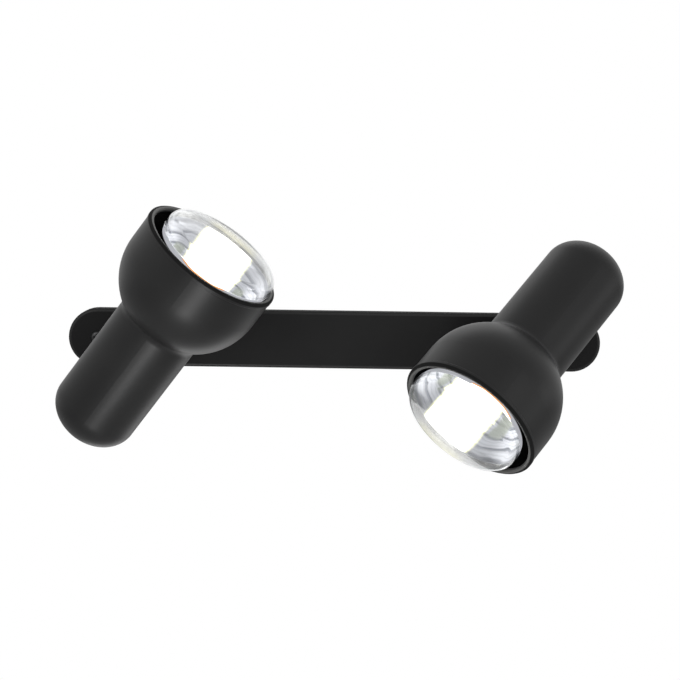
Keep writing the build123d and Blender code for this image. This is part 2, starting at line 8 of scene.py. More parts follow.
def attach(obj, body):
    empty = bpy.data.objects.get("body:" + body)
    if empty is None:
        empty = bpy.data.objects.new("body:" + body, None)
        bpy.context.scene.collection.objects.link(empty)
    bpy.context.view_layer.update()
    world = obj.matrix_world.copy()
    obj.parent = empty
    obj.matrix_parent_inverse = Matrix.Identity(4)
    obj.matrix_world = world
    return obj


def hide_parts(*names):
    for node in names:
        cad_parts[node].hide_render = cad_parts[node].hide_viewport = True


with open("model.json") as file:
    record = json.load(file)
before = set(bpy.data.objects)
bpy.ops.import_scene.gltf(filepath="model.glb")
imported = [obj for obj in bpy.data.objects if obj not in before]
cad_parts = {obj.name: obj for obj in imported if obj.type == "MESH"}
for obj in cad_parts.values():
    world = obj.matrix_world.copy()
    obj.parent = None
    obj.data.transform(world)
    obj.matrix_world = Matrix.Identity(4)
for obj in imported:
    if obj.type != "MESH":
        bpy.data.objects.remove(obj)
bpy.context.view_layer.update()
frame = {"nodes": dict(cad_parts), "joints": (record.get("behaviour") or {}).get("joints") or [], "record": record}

mm = 0.001
quarterTurn = pi / 2
fullTurn = 2 * pi
sharpAngle = radians(40)
sides = ("left", "right")
print("frame loaded:", len(frame["nodes"]), "nodes")


# node trees: a socket that does maths, and one call that adds any node

class Wire:
    def __init__(self, tree, socket):
        self.tree = tree
        self.socket = socket

    def maths(self, operation, *values):
        return addNode(self.tree, "ShaderNodeMath", {"operation": operation}, dict(enumerate(values)))

    def __add__(self, other):
        return self.maths("ADD", self, other)

    def __radd__(self, other):
        return self.maths("ADD", other, self)

    def __sub__(self, other):
        return self.maths("SUBTRACT", self, other)

    def __rsub__(self, other):
        return self.maths("SUBTRACT", other, self)

    def __mul__(self, other):
        return self.maths("MULTIPLY", self, other)

    def __truediv__(self, other):
        return self.maths("DIVIDE", self, other)

    def __pow__(self, other):
        return self.maths("POWER", self, other)

    def __abs__(self):
        return self.maths("ABSOLUTE", self)

    def sine(self):
        return self.maths("SINE", self)

    def cosine(self):
        return self.maths("COSINE", self)

    def least(self, other):
        return self.maths("MINIMUM", self, other)

    def most(self, other):
        return self.maths("MAXIMUM", self, other)

    def span(self, other):  # the long side of a right angle
        return (self * self + other * other) ** 0.5

    def part(self, name):  # one coordinate of a vector
        return addNode(self.tree, "ShaderNodeSeparateXYZ", {}, {0: self}, name)

    def parts(self):
        return (self.part(name) for name in "XYZ")

    def step(self, start, end):  # 0 before start, 1 past end, smooth between
        settings = {"interpolation_type": "SMOOTHSTEP"}
        inputs = {"Value": self, "From Min": start, "From Max": end}
        return addNode(self.tree, "ShaderNodeMapRange", settings, inputs)

    def ramp(self, start, end):  # as step, with straight sides
        inputs = {"Value": self, "From Min": start, "From Max": end}
        return addNode(self.tree, "ShaderNodeMapRange", {}, inputs)


def addNode(tree, kind, settings=None, inputs=None, output=0):
    made = tree.nodes.new(kind)
    for key, value in (settings or {}).items():
        setattr(made, key, value)
    for key, value in (inputs or {}).items():
        if isinstance(value, Wire):
            tree.links.new(value.socket, made.inputs[key])
        else:
            made.inputs[key].default_value = value
    return Wire(tree, made.outputs[output])


def asColour(value):
    return value if isinstance(value, Wire) else (*value, 1)


def addObject(name, data):
    made = bpy.data.objects.new(name, data)
    bpy.context.scene.collection.objects.link(made)
    return made


def camelName(words):  # cover_screws becomes coverScrews
    first, *others = words.split("_")
    return first + "".join(word.capitalize() for word in others)


class Finish:
    def __init__(self, name):
        self.material = bpy.data.materials.new(name)
        self.material.use_nodes = True
        self.tree = self.material.node_tree
        self.tree.nodes.clear()

    def node(self, kind, settings=None, inputs=None, output=0):
        return addNode(self.tree, "ShaderNode" + kind, settings, inputs, output)

    def place(self):
        return self.node("TexCoord", output="Object")

    def placeIn(self, axes):  # millimetres along a head's or lamp's own axes
        inputs = {"Location": axes.translation, "Rotation": axes.to_euler(), "Scale": (mm, mm, mm)}
        return self.node("Mapping", {"vector_type": "TEXTURE"}, {"Vector": self.place(), **inputs})

    def noise(self, vector, scale, detail=2.0, roughness=0.5):
        inputs = {"Vector": vector, "Scale": scale, "Detail": detail, "Roughness": roughness}
        return self.node("TexNoise", {}, inputs)

    def mix(self, factor, first, second):
        settings = {"data_type": "RGBA", "blend_type": "MIX"}
        return self.node("Mix", settings, {0: factor, 6: asColour(first), 7: asColour(second)}, output=2)

    def bump(self, height, distance):
        return self.node("Bump", {}, {"Height": height, "Distance": distance})

    def shade(self, inputs):
        return self.finished(self.node("BsdfPrincipled", {}, inputs))

    def finished(self, shader):
        end = self.tree.nodes.new("ShaderNodeOutputMaterial")
        self.tree.links.new(shader.socket, end.inputs["Surface"])
        return self.material


# places of the heads and lamps: x away from the wall, y along the tilt axis, z ahead, from the rim's middle

aims = {
    "left": {"swivel": 53.2, "tilt": 17.2, "lampShift": 3.5 * mm},
    "right": {"swivel": 228.0, "tilt": 30.6, "lampShift": 1.7 * mm},
}
headReach = {"pivotToRim": 91.0 * mm, "pivotToAxis": 43.9 * mm}
wallOut = Vector((0, -1, 0))


def tiltJoint(side):
    joint = next(j for j in frame["joints"] if j["name"] == side + "_tilt")
    return Vector(joint["pos_m"]), Vector(joint["axis"])


def headPlace(side):
    swivel, tilt = radians(aims[side]["swivel"]), radians(aims[side]["tilt"])
    pivot, _ = tiltJoint(side)
    along = Vector((cos(swivel), 0, sin(swivel)))
    ahead = along * cos(tilt) + wallOut * sin(tilt)
    front = wallOut * cos(tilt) - along * sin(tilt)
    across = ahead.cross(front)
    rim = pivot + ahead * headReach["pivotToRim"] + front * headReach["pivotToAxis"]
    turn = Matrix((front, across, ahead)).transposed().to_4x4()
    return Matrix.Translation(rim) @ turn


def lampPlace(side):
    return headPlace(side) @ Matrix.Translation((0, aims[side]["lampShift"], 0))


# finishes

blackPaint = {
    "colour": (0.0048, 0.0048, 0.005),
    "dustColour": (0.0085, 0.0085, 0.0085),
    "roughness": 0.42,
    "cloudRoughness": 0.06,
    "speckRoughness": 0.05,
    "shine": 0.16,
    "grainSize": 0.9 * mm,
    "grainHeight": 0.010 * mm,
    "cloudScale": 22.0,
    "cloudEdge": (0.35, 0.75),
    "cloudShare": 0.6,
    "speckScale": 2600.0,
    "speckEdge": (0.5, 0.8),
    "speckShare": 0.4,
    # how strongly the painted highlight line shows, varied by the specks
    "paintedHighlightLeast": 0.55,
    "paintedHighlightSpread": 0.5,
}


def makeBlackPaint(name, look, marks=None):
    finish = Finish(name)
    place = finish.place()
    grain = finish.noise(place, 1 / look["grainSize"], 2)
    cloud = finish.noise(place, look["cloudScale"], 3)
    speck = finish.noise(place, look["speckScale"], 1)
    dust = cloud.step(*look["cloudEdge"]) * look["cloudShare"]
    dust += speck.step(*look["speckEdge"]) * look["speckShare"]
    colour = finish.mix(dust, look["colour"], look["dustColour"])
    roughness = look["roughness"] + (cloud - 0.5) * look["cloudRoughness"]
    roughness += (speck - 0.5) * look["speckRoughness"]
    # the marks are painted shade, darker and rougher, and a lighter painted highlight line
    if marks:
        paintedShade, worn = marks(finish)
        colour = finish.mix(paintedShade, colour, look["paintedShadeColour"])
        paintedHighlightShare = worn * (look["paintedHighlightLeast"] + speck * look["paintedHighlightSpread"])
        colour = finish.mix(paintedHighlightShare, colour, look["paintedHighlightColour"])
        roughness = roughness * (1 - paintedShade) + paintedShade * look["paintedShadeRoughness"]
    return finish.shade({
        "Base Color": colour,
        "Roughness": roughness,
        "Specular IOR Level": look["shine"],
        "Normal": finish.bump(grain, look["grainHeight"]),
    })


shellPaint = {  # reaches and levels in millimetres from the rim's middle
    **blackPaint,
    "colour": (0.0068, 0.0068, 0.007),
    "dustColour": (0.0105, 0.0105, 0.0105),
    "shine": 0.21,
    # colours of the painted shade and the painted highlight line
    "paintedShadeColour": (0.0012, 0.0012, 0.0012),
    "paintedShadeRoughness": 1.0,
    "paintedHighlightColour": (0.075, 0.075, 0.072),
    "bowlCentre": 2.2,
    "bowlStart": -22.5,
    "innerReach": (44.2, 44.6),
    "innerLevel": (-4.0, -3.2),
    "cornerReach": (45.8, 46.2),
    "cornerLevel": (-2.0, -1.5),
    "cornerShare": 0.85,
    "paintedHighlightReach": (45.5, 45.9),
    "paintedHighlightLevel": (-2.6, -1.6),
}


def makeShellPaint(side, look):
    def marks(finish):  # painted shade: the bowl's inner side and the crease at the roll's outer corner; worn: a painted highlight line along the roll's inner edge
        x, y, z = finish.placeIn(headPlace(side)).parts()
        radius = x.span(y)
        reach = (radius - look["bowlCentre"]).span((z - look["bowlStart"]).least(0.0))
        inner = (1 - reach.step(*look["innerReach"])) * (1 - z.step(*look["innerLevel"]))
        corner = radius.step(*look["cornerReach"]) * z.step(*look["cornerLevel"])
        # a painted highlight line along the roll's inner edge
        worn = (1 - radius.step(*look["paintedHighlightReach"])) * z.step(*look["paintedHighlightLevel"])
        return inner.most(corner * look["cornerShare"]), worn
    return makeBlackPaint(side + "ShellPaint", look, marks)


trayPaint = {  # reaches from the line between the centres of the tray's round ends
    **blackPaint,
    # colours of the painted shade on the sides and the painted highlight line on the rounded edge
    "paintedShadeColour": (0.002, 0.002, 0.002),
    "paintedShadeRoughness": 0.85,
    "paintedHighlightColour": (0.022, 0.022, 0.022),
    "halfSpine": 159 * mm,
    "sideReach": (18.2 * mm, 18.9 * mm),
    "paintedHighlightReach": (16.7 * mm, 17.5 * mm),
}


def makeTrayPaint(name, look):
    def marks(finish):  # painted shade: the sides; worn: a painted highlight line along the middle of the rounded edge
        place = finish.place()
        along = (abs(place.part("X")) - look["halfSpine"]).most(0.0)
        reach = along.span(place.part("Z"))
        side = reach.step(*look["sideReach"])
        return side, reach.step(*look["paintedHighlightReach"]) * (1 - side)
    return makeBlackPaint(name, look, marks)


plainMetal = {
    "glow": 0.0,
    "glowColours": ((1.0, 0.97, 0.88), (1.0, 0.93, 0.78)),
    "cloudScale": 90.0,
    "cloudEdge": (0.3, 0.7),
    "cloudShare": 0.7,
    "cloudRoughness": 0.12,
    "fineScale": 1800.0,
    "fineShare": 0.3,
    "fineRoughness": 0.1,
    "fineHeight": 0.004 * mm,
}
metals = {
    "zinc_steel": {"light": (0.62, 0.62, 0.60), "dark": (0.45, 0.46, 0.47), "roughness": 0.34},
    "black_steel": {"light": (0.05, 0.05, 0.05), "dark": (0.03, 0.03, 0.032), "roughness": 0.36},
    "brass_parts": {"light": (0.75, 0.53, 0.22), "dark": (0.58, 0.40, 0.15), "roughness": 0.3},
    "cap_metal": {"light": (0.78, 0.78, 0.77), "dark": (0.62, 0.62, 0.62), "roughness": 0.26},
    "solder": {"light": (0.6, 0.6, 0.61), "dark": (0.42, 0.42, 0.44), "roughness": 0.4},
    "filament_wire": {"light": (0.8, 0.7, 0.5), "dark": (0.6, 0.5, 0.35), "roughness": 0.4, "glow": 3.0},
}


def makeMetal(name, look):
    finish = Finish(name)
    place = finish.place()
    cloud = finish.noise(place, look["cloudScale"], 4, 0.6)
    fine = finish.noise(place, look["fineScale"], 2)
    worn = cloud.step(*look["cloudEdge"]) * look["cloudShare"] + fine * look["fineShare"]
    spread = (cloud - 0.5) * look["cloudRoughness"] + (fine - 0.5) * look["fineRoughness"]
    return finish.shade({
        "Base Color": finish.mix(worn, look["light"], look["dark"]),
        "Metallic": 1.0,
        "Roughness": look["roughness"] + spread,
        "Normal": finish.bump(fine, look["fineHeight"]),
        "Emission Color": finish.mix(cloud, *look["glowColours"]),
        "Emission Strength": look["glow"],
    })


plainPlastic = {
    "shine": 0.5,
    "grainScale": 1500.0,
    "grainShare": 0.2,
    "grainHeight": 0.01 * mm,
    "cloudScale": 70.0,
    "cloudShare": 0.8,
    "cloudRoughness": 0.1,
}
plastics = {
    "black_plastic": {"light": (0.012, 0.012, 0.012), "dark": (0.02, 0.02, 0.02), "roughness": 0.5},
    "white_plastic": {"light": (0.72, 0.72, 0.70), "dark": (0.62, 0.62, 0.58), "roughness": 0.4},
    "holder_plastic": {"light": (0.01, 0.01, 0.01), "dark": (0.02, 0.018, 0.016), "roughness": 0.2},
    "black_rubber": {"light": (0.012,) * 3, "dark": (0.025,) * 3, "roughness": 0.75, "shine": 0.3},
    "cap_glass": {"light": (0.008, 0.008, 0.012), "dark": (0.02, 0.015, 0.02), "roughness": 0.08},
}


def makePlastic(name, look):
    finish = Finish(name)
    place = finish.place()
    grain = finish.noise(place, look["grainScale"], 2)
    cloud = finish.noise(place, look["cloudScale"], 3)
    patches = cloud * look["cloudShare"] + grain * look["grainShare"]
    return finish.shade({
        "Base Color": finish.mix(patches, look["light"], look["dark"]),
        "Roughness": look["roughness"] + (cloud - 0.5) * look["cloudRoughness"],
        "Specular IOR Level": look["shine"],
        "Normal": finish.bump(grain, look["grainHeight"]),
    })


lampGlow = {  # places in millimetres from the middle of the lamp's widest ring
    "strength": 3.4,
    "white": (1.0, 0.985, 0.94),
    "fringe": (0.27, 0.26, 0.13),
    "amber": (0.27, 0.10, 0.016),
    "edgeGrey": (0.12, 0.122, 0.13),
    "dark": (0, 0, 0),
    "silver": (0.49, 0.50, 0.545),
    "line": (0.14, 0.15, 0.18),
    "shadow": (0.30, 0.32, 0.275),
    "outside": (0.006, 0.006, 0.006),
    "shine": 0.2,
    "metallic": 0.35,
    "metallicSpread": 0.2,
    "roughness": 0.3,
    "roughnessSpread": 0.12,
    "rimRadius": 40.0,
    "neckRadius": 17.5,
    "depth": 58.0,
    "wallEdge": (-0.7, -0.4),
    "warpScale": 0.06,
    "warpReach": 3.0,
    "bandEdge": (17.0, 17.8),
    "fringeEdge": (17.5, 19.7),
    "leakEdge": (14.5, 17.0),
    "leakHalfWidth": 15.5,
    "leakBend": 1.2,
    "leakDepth": {"left": 1.5, "right": 2.3},
    "lipLevel": (-1.0, -0.7),
    "whiteLevel": (0.0, 0.6),
    "greyLevel": (-4.2, -3.4),
    "silverLevel": (-4.4, -3.8),
    "ringsPerMm": 0.8,
    "ringWarp": 5.0,
    "lineEdge": (0.66, 0.98),
    "lineLeast": 0.35,
    "lineSpread": 0.9,
    "fineRings": 3.3,
    "fineEdge": (0.6, 1.0),
    "fineShare": 0.25,
    "poolStart": (20.0, 21.5),
    "poolEnd": (26.5, 28.5),
    "poolLevel": (-18.0, -14.0),
    "poolShare": 0.8,
}


def makeReflector(side, look):
    finish = Finish(side + "LampSilver")
    local = finish.placeIn(lampPlace(side))
    x, y, z = local.parts()
    warp = finish.noise(local, look["warpScale"])
    away = abs(y) + (warp - 0.5) * look["warpReach"]

    neckSquare = look["neckRadius"] ** 2  # the reflector is a parabola from neck to rim
    opening = (z / look["depth"] + 1).most(0.0) * (look["rimRadius"] ** 2 - neckSquare)
    inside = 1 - (x.span(y) - (opening + neckSquare) ** 0.5).step(*look["wallEdge"])

    band = 1 - away.step(*look["bandEdge"])  # the lit middle and its yellow fringe, painted as glow: a painted reflection of the filament
    fringe = 1 - away.step(*look["fringeEdge"])
    glow = finish.mix(band, finish.mix(fringe, look["dark"], look["fringe"]), look["white"])

    near = 1 - abs(y).step(*look["leakEdge"])  # painted light leaking out at the rim, grey, with an amber lip and white above it
    bend = abs(y).step(0, look["leakHalfWidth"]) ** 4 * look["leakBend"]
    level = z - bend + look["leakDepth"][side]
    leaking = finish.mix(z.step(*look["greyLevel"]), look["dark"], look["edgeGrey"])
    leaking = finish.mix(level.step(*look["lipLevel"]) * near, leaking, look["amber"])
    leaking = finish.mix(level.step(*look["whiteLevel"]) * near, leaking, look["white"])

    ring = z * look["ringsPerMm"] + warp * look["ringWarp"]  # painted reflections of rings, and painted shade in a pool beside the band
    strength = look["lineLeast"] + warp * look["lineSpread"]
    lines = (ring.sine() * 0.5 + 0.5).step(*look["lineEdge"]) * strength
    fine = ((ring * look["fineRings"]).sine() * 0.5 + 0.5).step(*look["fineEdge"]) * look["fineShare"]
    beside = away.step(*look["poolStart"]) * (1 - away.step(*look["poolEnd"]))
    pool = beside * (1 - z.step(*look["poolLevel"]))
    silver = finish.mix((lines + fine).least(1.0), look["silver"], look["line"])
    silver = finish.mix(pool * look["poolShare"], silver, look["shadow"])
    return finish.shade({
        "Base Color": finish.mix(inside.most(z.step(*look["silverLevel"])), look["outside"], silver),
        "Metallic": look["metallic"] + warp * look["metallicSpread"],
        "Roughness": look["roughness"] + warp * look["roughnessSpread"],
        "Specular IOR Level": look["shine"],
        "Emission Color": finish.mix(inside, leaking, glow),
        "Emission Strength": look["strength"],
    })


lampGlass = {  # the far side carries painted shade, grey with painted warm light in its middle; the rest is clear
    "clear": (0.97, 0.98, 0.985),
    "paintedShadeGrey": {"left": (0.33, 0.34, 0.345), "right": (0.20, 0.21, 0.215)},
    "paintedWarmLight": {"left": (0.58, 0.55, 0.30), "right": (0.36, 0.35, 0.15)},
    "wallFoot": {"left": (-1.4, -0.6), "right": (1.6, 2.4)},
    "wallTop": {"left": (4.5, 9.0), "right": (8.0, 12.5)},
    "warmEdge": (12.0, 22.0),
    "warmShare": 0.8,
    "nearEdge": (-6.0, 6.0),
    "cloudScale": 0.05,
    "roughness": 0.01,
    "roughnessSpread": 0.03,
    "refraction": 1.47,
}


def makeLampGlass(side, look):
    finish = Finish(side + "LampGlass")
    local = finish.placeIn(lampPlace(side))
    x, y, z = local.parts()
    cloud = finish.noise(local, look["cloudScale"])
    warm = (1 - abs(y).step(*look["warmEdge"])) * look["warmShare"]
    wall = finish.mix(warm, look["paintedShadeGrey"][side], look["paintedWarmLight"][side])
    foot = 1 - z.step(*look["wallFoot"][side])
    clear = z.step(*look["wallTop"][side]).most(foot).most(x.step(*look["nearEdge"]))
    return finish.shade({
        "Base Color": finish.mix(clear, wall, look["clear"]),
        "Roughness": look["roughness"] + cloud * look["roughnessSpread"],
        "IOR": look["refraction"],
        "Transmission Weight": 1.0,
    })


# the stem glass glows: painted light from the lit filament
stemGlass = {
    "colours": ((0.97, 0.985, 0.99), (0.93, 0.95, 0.96)),
    "glowColours": ((1.0, 0.97, 0.9), (1.0, 0.95, 0.84)),
    "glow": 1.0,
    "cloudScale": 40.0,
    "roughness": 0.01,
    "roughnessSpread": 0.02,
    "refraction": 1.47,
}


def makeStemGlass(name, look):
    finish = Finish(name)
    cloud = finish.noise(finish.place(), look["cloudScale"])
    return finish.shade({
        "Base Color": finish.mix(cloud, *look["colours"]),
        "Roughness": look["roughness"] + cloud * look["roughnessSpread"],
        "IOR": look["refraction"],
        "Transmission Weight": 1.0,
        "Emission Color": finish.mix(cloud, *look["glowColours"]),
        "Emission Strength": look["glow"],
    })


knucklePaint = {**blackPaint, "roughness": 0.5, "grainSize": 1.4 * mm}
slotFinishes = {
    "cover_paint": makeTrayPaint("coverPaint", trayPaint),
    "knuckle_paint": makeBlackPaint("knucklePaint", knucklePaint),
    "lamp_glass": makeStemGlass("stemGlass", stemGlass),
    **{slot: makeMetal(camelName(slot), {**plainMetal, **look}) for slot, look in metals.items()},
    **{slot: makePlastic(camelName(slot), {**plainPlastic, **look}) for slot, look in plastics.items()},
}
sideFinishes = {
    "lamp_silver": {side: makeReflector(side, lampGlow) for side in sides},
    "head_paint": {side: makeShellPaint(side, shellPaint) for side in sides},
    "lamp_front": {side: makeLampGlass(side, lampGlass) for side in sides},
}
print("finishes made")


def finishOf(node):  # a side's own finish goes by the piece's name or by its slot
    side, _, piece = node.partition("_")
    for key in (piece, slotOf[node]):
        if side in sides and key in sideFinishes:
            return sideFinishes[key][side]
    return slotFinishes[slotOf[node]]


slotOf = {part["node"]: part["material_slot"] for part in frame["record"]["subparts"]}
for node in slotOf:
    materials = frame["nodes"][node].data.materials
    materials.clear()
    materials.append(finishOf(node))
print("finishes on", len(slotOf), "nodes")


# lamp fronts: turned from their outline, so that both domes end in a clean pole

frontShape = {  # millimetres, and the steps round the axis and along each arc
    "radius": 40.0,
    "stand": 13.4,
    "sag": 5.4,
    "corner": 6.0,
    "wall": 1.0,
    "turns": 160,
    "arcSteps": 10,
}


def frontOutline(shape, inset):  # from the pole over the dome and the rounded corner to the foot
    radius, top, corner = shape["radius"] - inset, shape["stand"] - inset, shape["corner"] - inset
    dome = (radius ** 2 + shape["sag"] ** 2) / (2 * shape["sag"])
    middle = top - dome
    cornerLevel = middle + sqrt((dome - corner) ** 2 - (radius - corner) ** 2)
    bend = atan2(radius - corner, cornerLevel - middle)
    steps = shape["arcSteps"]
    turns = [bend * n / steps for n in range(1, steps)]
    domeArc = [(dome * sin(turn), middle + dome * cos(turn)) for turn in turns]
    turns = [bend + (quarterTurn - bend) * n / steps for n in range(steps + 1)]
    cornerArc = [(radius - corner + corner * sin(turn), cornerLevel + corner * cos(turn)) for turn in turns]
    return domeArc + cornerArc + [(radius, 0.0)]


def makeLampFront(side, shape):
    rings = frontOutline(shape, 0) + frontOutline(shape, shape["wall"])[::-1]
    count = shape["turns"]
    turns = [fullTurn * n / count for n in range(count)]
    points = [(reach * cos(turn), reach * sin(turn), level) for reach, level in rings for turn in turns]
    outerPole, innerPole = len(points), len(points) + 1
    points += [(0, 0, shape["stand"]), (0, 0, shape["stand"] - shape["wall"])]
    last = (len(rings) - 1) * count
    faces = []
    for n in range(count):
        after = (n + 1) % count
        faces += [(outerPole, n, after), (last + n, innerPole, last + after)]
        faces += [(r + n, r + count + n, r + count + after, r + after) for r in range(0, last, count)]
    place = lampPlace(side)
    mesh = bpy.data.meshes.new(side + "LampFront")
    mesh.from_pydata([place @ (Vector(point) * mm) for point in points], [], faces)
    mesh.materials.append(sideFinishes["lamp_front"][side])
    mesh.shade_smooth()
    mesh.set_sharp_from_angle(angle=sharpAngle)
    piece = addObject(side + "LampFront", mesh)
    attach(piece, side + "_head")
    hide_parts(side + "_lamp_front")


for side in sides:
    makeLampFront(side, frontShape)
print("lamp fronts turned")


# screws: one tree turns a pan head, cuts its recess and winds the thread

screwShape = {  # shares run from 0 to 1 along a grid, lengths in millimetres
    "headGrid": (33, 13),
    "headEdge": 0.14,
    "headRound": 0.55,
    "headCrown": 0.8,
    "shankAcross": 19,
    "rowsPerTurn": 6,
    "moreRows": 8,
    "threadDepth": 0.3,
    "shankTip": 0.02,
    "shankTop": 0.985,
    "weld": 0.002,
}
m3 = {
    "Head Radius": 2.75, "Head Height": 1.8, "Shank Radius": 1.5, "Pitch": 0.5,
    "Recess Length": 5.6, "Recess Width": 0.7, "Recess Depth": 0.8,
}
m4 = {
    "Head Radius": 4.0, "Head Height": 2.4, "Shank Radius": 2.0, "Pitch": 0.7,
    "Recess Length": 4.6, "Recess Width": 0.95, "Recess Depth": 1.3, "Crossed": True,
}
m5 = {
    "Head Radius": 4.75, "Head Height": 2.8, "Shank Radius": 2.5, "Pitch": 0.8,
    "Recess Length": 5.4, "Recess Width": 1.15, "Recess Depth": 1.6, "Crossed": True,
}
setScrew = {
    **m3, "Head Radius": 1.5, "Head Height": 0.6,
    "Recess Length": 3.4, "Recess Width": 0.55, "Recess Depth": 0.5,
}


def buildScrewTree(shape):
    tree = bpy.data.node_groups.new("turnedScrew", "GeometryNodeTree")
    sockets = {"Points": "Geometry", **dict.fromkeys(m3, "Float"), "Shank Length": "Float"}
    sockets.update({"Crossed": "Bool", "Finish": "Material"})
    for name, kind in sockets.items():
        tree.interface.new_socket(name, in_out="INPUT", socket_type="NodeSocket" + kind)
    tree.interface.new_socket("Screws", in_out="OUTPUT", socket_type="NodeSocketGeometry")
    given = tree.nodes.new("NodeGroupInput").outputs

    def take(name):
        return Wire(tree, given[name])

    def add(kind, settings=None, inputs=None):
        return addNode(tree, kind, settings, inputs)

    def turned(across, along, radius, height):  # a grid wound round the axis, its seam and poles closed
        grid = add("GeometryNodeMeshGrid", {}, {
            "Size X": 1.0, "Size Y": 1.0, "Vertices X": across, "Vertices Y": along,
        })
        place = add("GeometryNodeInputPosition")
        turn, run = (place.part("X") + 0.5) * fullTurn, place.part("Y") + 0.5
        reach, level = radius(turn, run), height(run)
        wound = add("ShaderNodeCombineXYZ", {}, {0: reach * turn.cosine(), 1: reach * turn.sine(), 2: level})
        shaped = add("GeometryNodeSetPosition", {}, {"Geometry": grid, "Position": wound})
        return add("GeometryNodeMergeByDistance", {}, {"Geometry": shaped, "Distance": shape["weld"]})

    def headBow(run):
        return run.ramp(shape["headEdge"], 1.0) * quarterTurn

    def headRadius(turn, run):
        rounding = headBow(run).cosine().most(0.0) ** shape["headRound"]
        return take("Head Radius") * run.ramp(0.0, shape["headEdge"]) * rounding

    def headHeight(run):
        return take("Head Height") * headBow(run).sine() ** shape["headCrown"]

    def shankLevel(run):
        return take("Shank Length") * (run - 1)

    def shankRadius(turn, run):
        phase = shankLevel(run) / take("Pitch") * fullTurn + turn
        cut = take("Pitch") * shape["threadDepth"] * (0.5 - phase.cosine() * 0.5)
        closed = run.ramp(0.0, shape["shankTip"]) * (1 - run.ramp(shape["shankTop"], 1.0))
        return (take("Shank Radius") - cut) * closed

    rows = take("Shank Length") / take("Pitch") * shape["rowsPerTurn"] + shape["moreRows"]
    headMesh = turned(*shape["headGrid"], headRadius, headHeight)
    shankMesh = turned(shape["shankAcross"], rows, shankRadius, shankLevel)
    recess = {0: take("Recess Length"), 1: take("Recess Width"), 2: take("Recess Depth") * 2}
    bar = add("GeometryNodeMeshCube", {}, {"Size": add("ShaderNodeCombineXYZ", {}, recess)})
    lift = add("ShaderNodeCombineXYZ", {}, {2: take("Head Height")})
    slot = add("GeometryNodeTransform", {}, {"Geometry": bar, "Translation": lift})
    second = add("GeometryNodeTransform", {}, {"Geometry": slot, "Rotation": (0, 0, quarterTurn)})
    cutting = {"operation": "DIFFERENCE"}
    slotted = add("GeometryNodeMeshBoolean", cutting, {"Mesh 1": headMesh, "Mesh 2": slot})
    crossed = add("GeometryNodeMeshBoolean", cutting, {"Mesh 1": slotted, "Mesh 2": second})
    choice = {"Switch": take("Crossed"), "False": slotted, "True": crossed}
    cutHead = add("GeometryNodeSwitch", {"input_type": "GEOMETRY"}, choice)
    joined = add("GeometryNodeJoinGeometry", {}, {0: cutHead})
    tree.links.new(shankMesh.socket, joined.socket.node.inputs[0])
    scaled = add("GeometryNodeTransform", {}, {"Geometry": joined, "Scale": (mm, mm, mm)})
    aim = add("GeometryNodeInputNamedAttribute", {"data_type": "FLOAT_VECTOR"}, {"Name": "aim"})
    turn = add("FunctionNodeAlignRotationToVector", {"axis": "Z"}, {"Vector": aim})
    placed = {"Points": take("Points"), "Instance": scaled, "Rotation": turn}
    real = add("GeometryNodeRealizeInstances", {}, {0: add("GeometryNodeInstanceOnPoints", {}, placed)})
    finished = add("GeometryNodeSetMaterial", {}, {"Geometry": real, "Material": take("Finish")})
    tree.links.new(finished.socket, tree.nodes.new("NodeGroupOutput").inputs[0])
    return tree


def madeByTree(name, tree, points, directions, values):
    base = bpy.data.meshes.new(name + "Points")
    base.from_pydata(points, [], [])
    aim = base.attributes.new("aim", "FLOAT_VECTOR", "POINT")
    aim.data.foreach_set("vector", [part for direction in directions for part in direction])
    carrier = addObject(name + "Points", base)
    modifier = carrier.modifiers.new("tree", "NODES")
    modifier.node_group = tree
    for item in tree.interface.items_tree:
        if item.in_out == "INPUT" and item.name in values:
            modifier[item.identifier] = values[item.name]
    bpy.context.view_layer.update()
    mesh = bpy.data.meshes.new_from_object(carrier.evaluated_get(bpy.context.evaluated_depsgraph_get()))
    carrier.modifiers.clear()
    bpy.data.objects.remove(carrier)
    mesh.name = name
    mesh.shade_smooth()
    mesh.set_sharp_from_angle(angle=sharpAngle)
    return addObject(name, mesh)


block = {"across": 36.0, "pitch": 10.0, "rows": (-4.5, 4.5), "screwTop": 12.4, "top": 13.0}
tray = {"screwAcross": 159.0, "depth": 18.0, "earthPlace": (-36.0, -1.5, 0)}
holder = {"seat": 118.0, "sheet": 1.5, "screws": 11.0, "terminalLevel": 6.0, "terminalFloor": 11.0}
knuckle = {"halfWidth": 8.0}
shankLengths = {
    "cover": 8.0, "earth": 1.5, "block": 13.0, "terminal": 4.3, "pivot": 21.25, "bracket": 7.0, "holder": 5.0,
}


def baseScrews():
    ends = [Vector((x, -tray["depth"], 0)) for x in (-tray["screwAcross"], tray["screwAcross"])]
    yield "cover_screws", "base", m4, "cover", ends, [wallOut] * 2
    yield "earth_screw", "base", m4, "earth", [Vector(tray["earthPlace"])], [wallOut]
    middle = Vector((block["across"] + block["pitch"] / 2, -block["top"], 0))
    yield "terminal_block_screw", "base", m3, "block", [middle], [wallOut]
    poles = [block["across"] + block["pitch"] * n for n in (-1, 0, 1)]
    places = [Vector((x, -block["screwTop"], z)) for x in poles for z in block["rows"]]
    yield "terminal_screws", "base", setScrew, "terminal", places, [wallOut] * len(places)


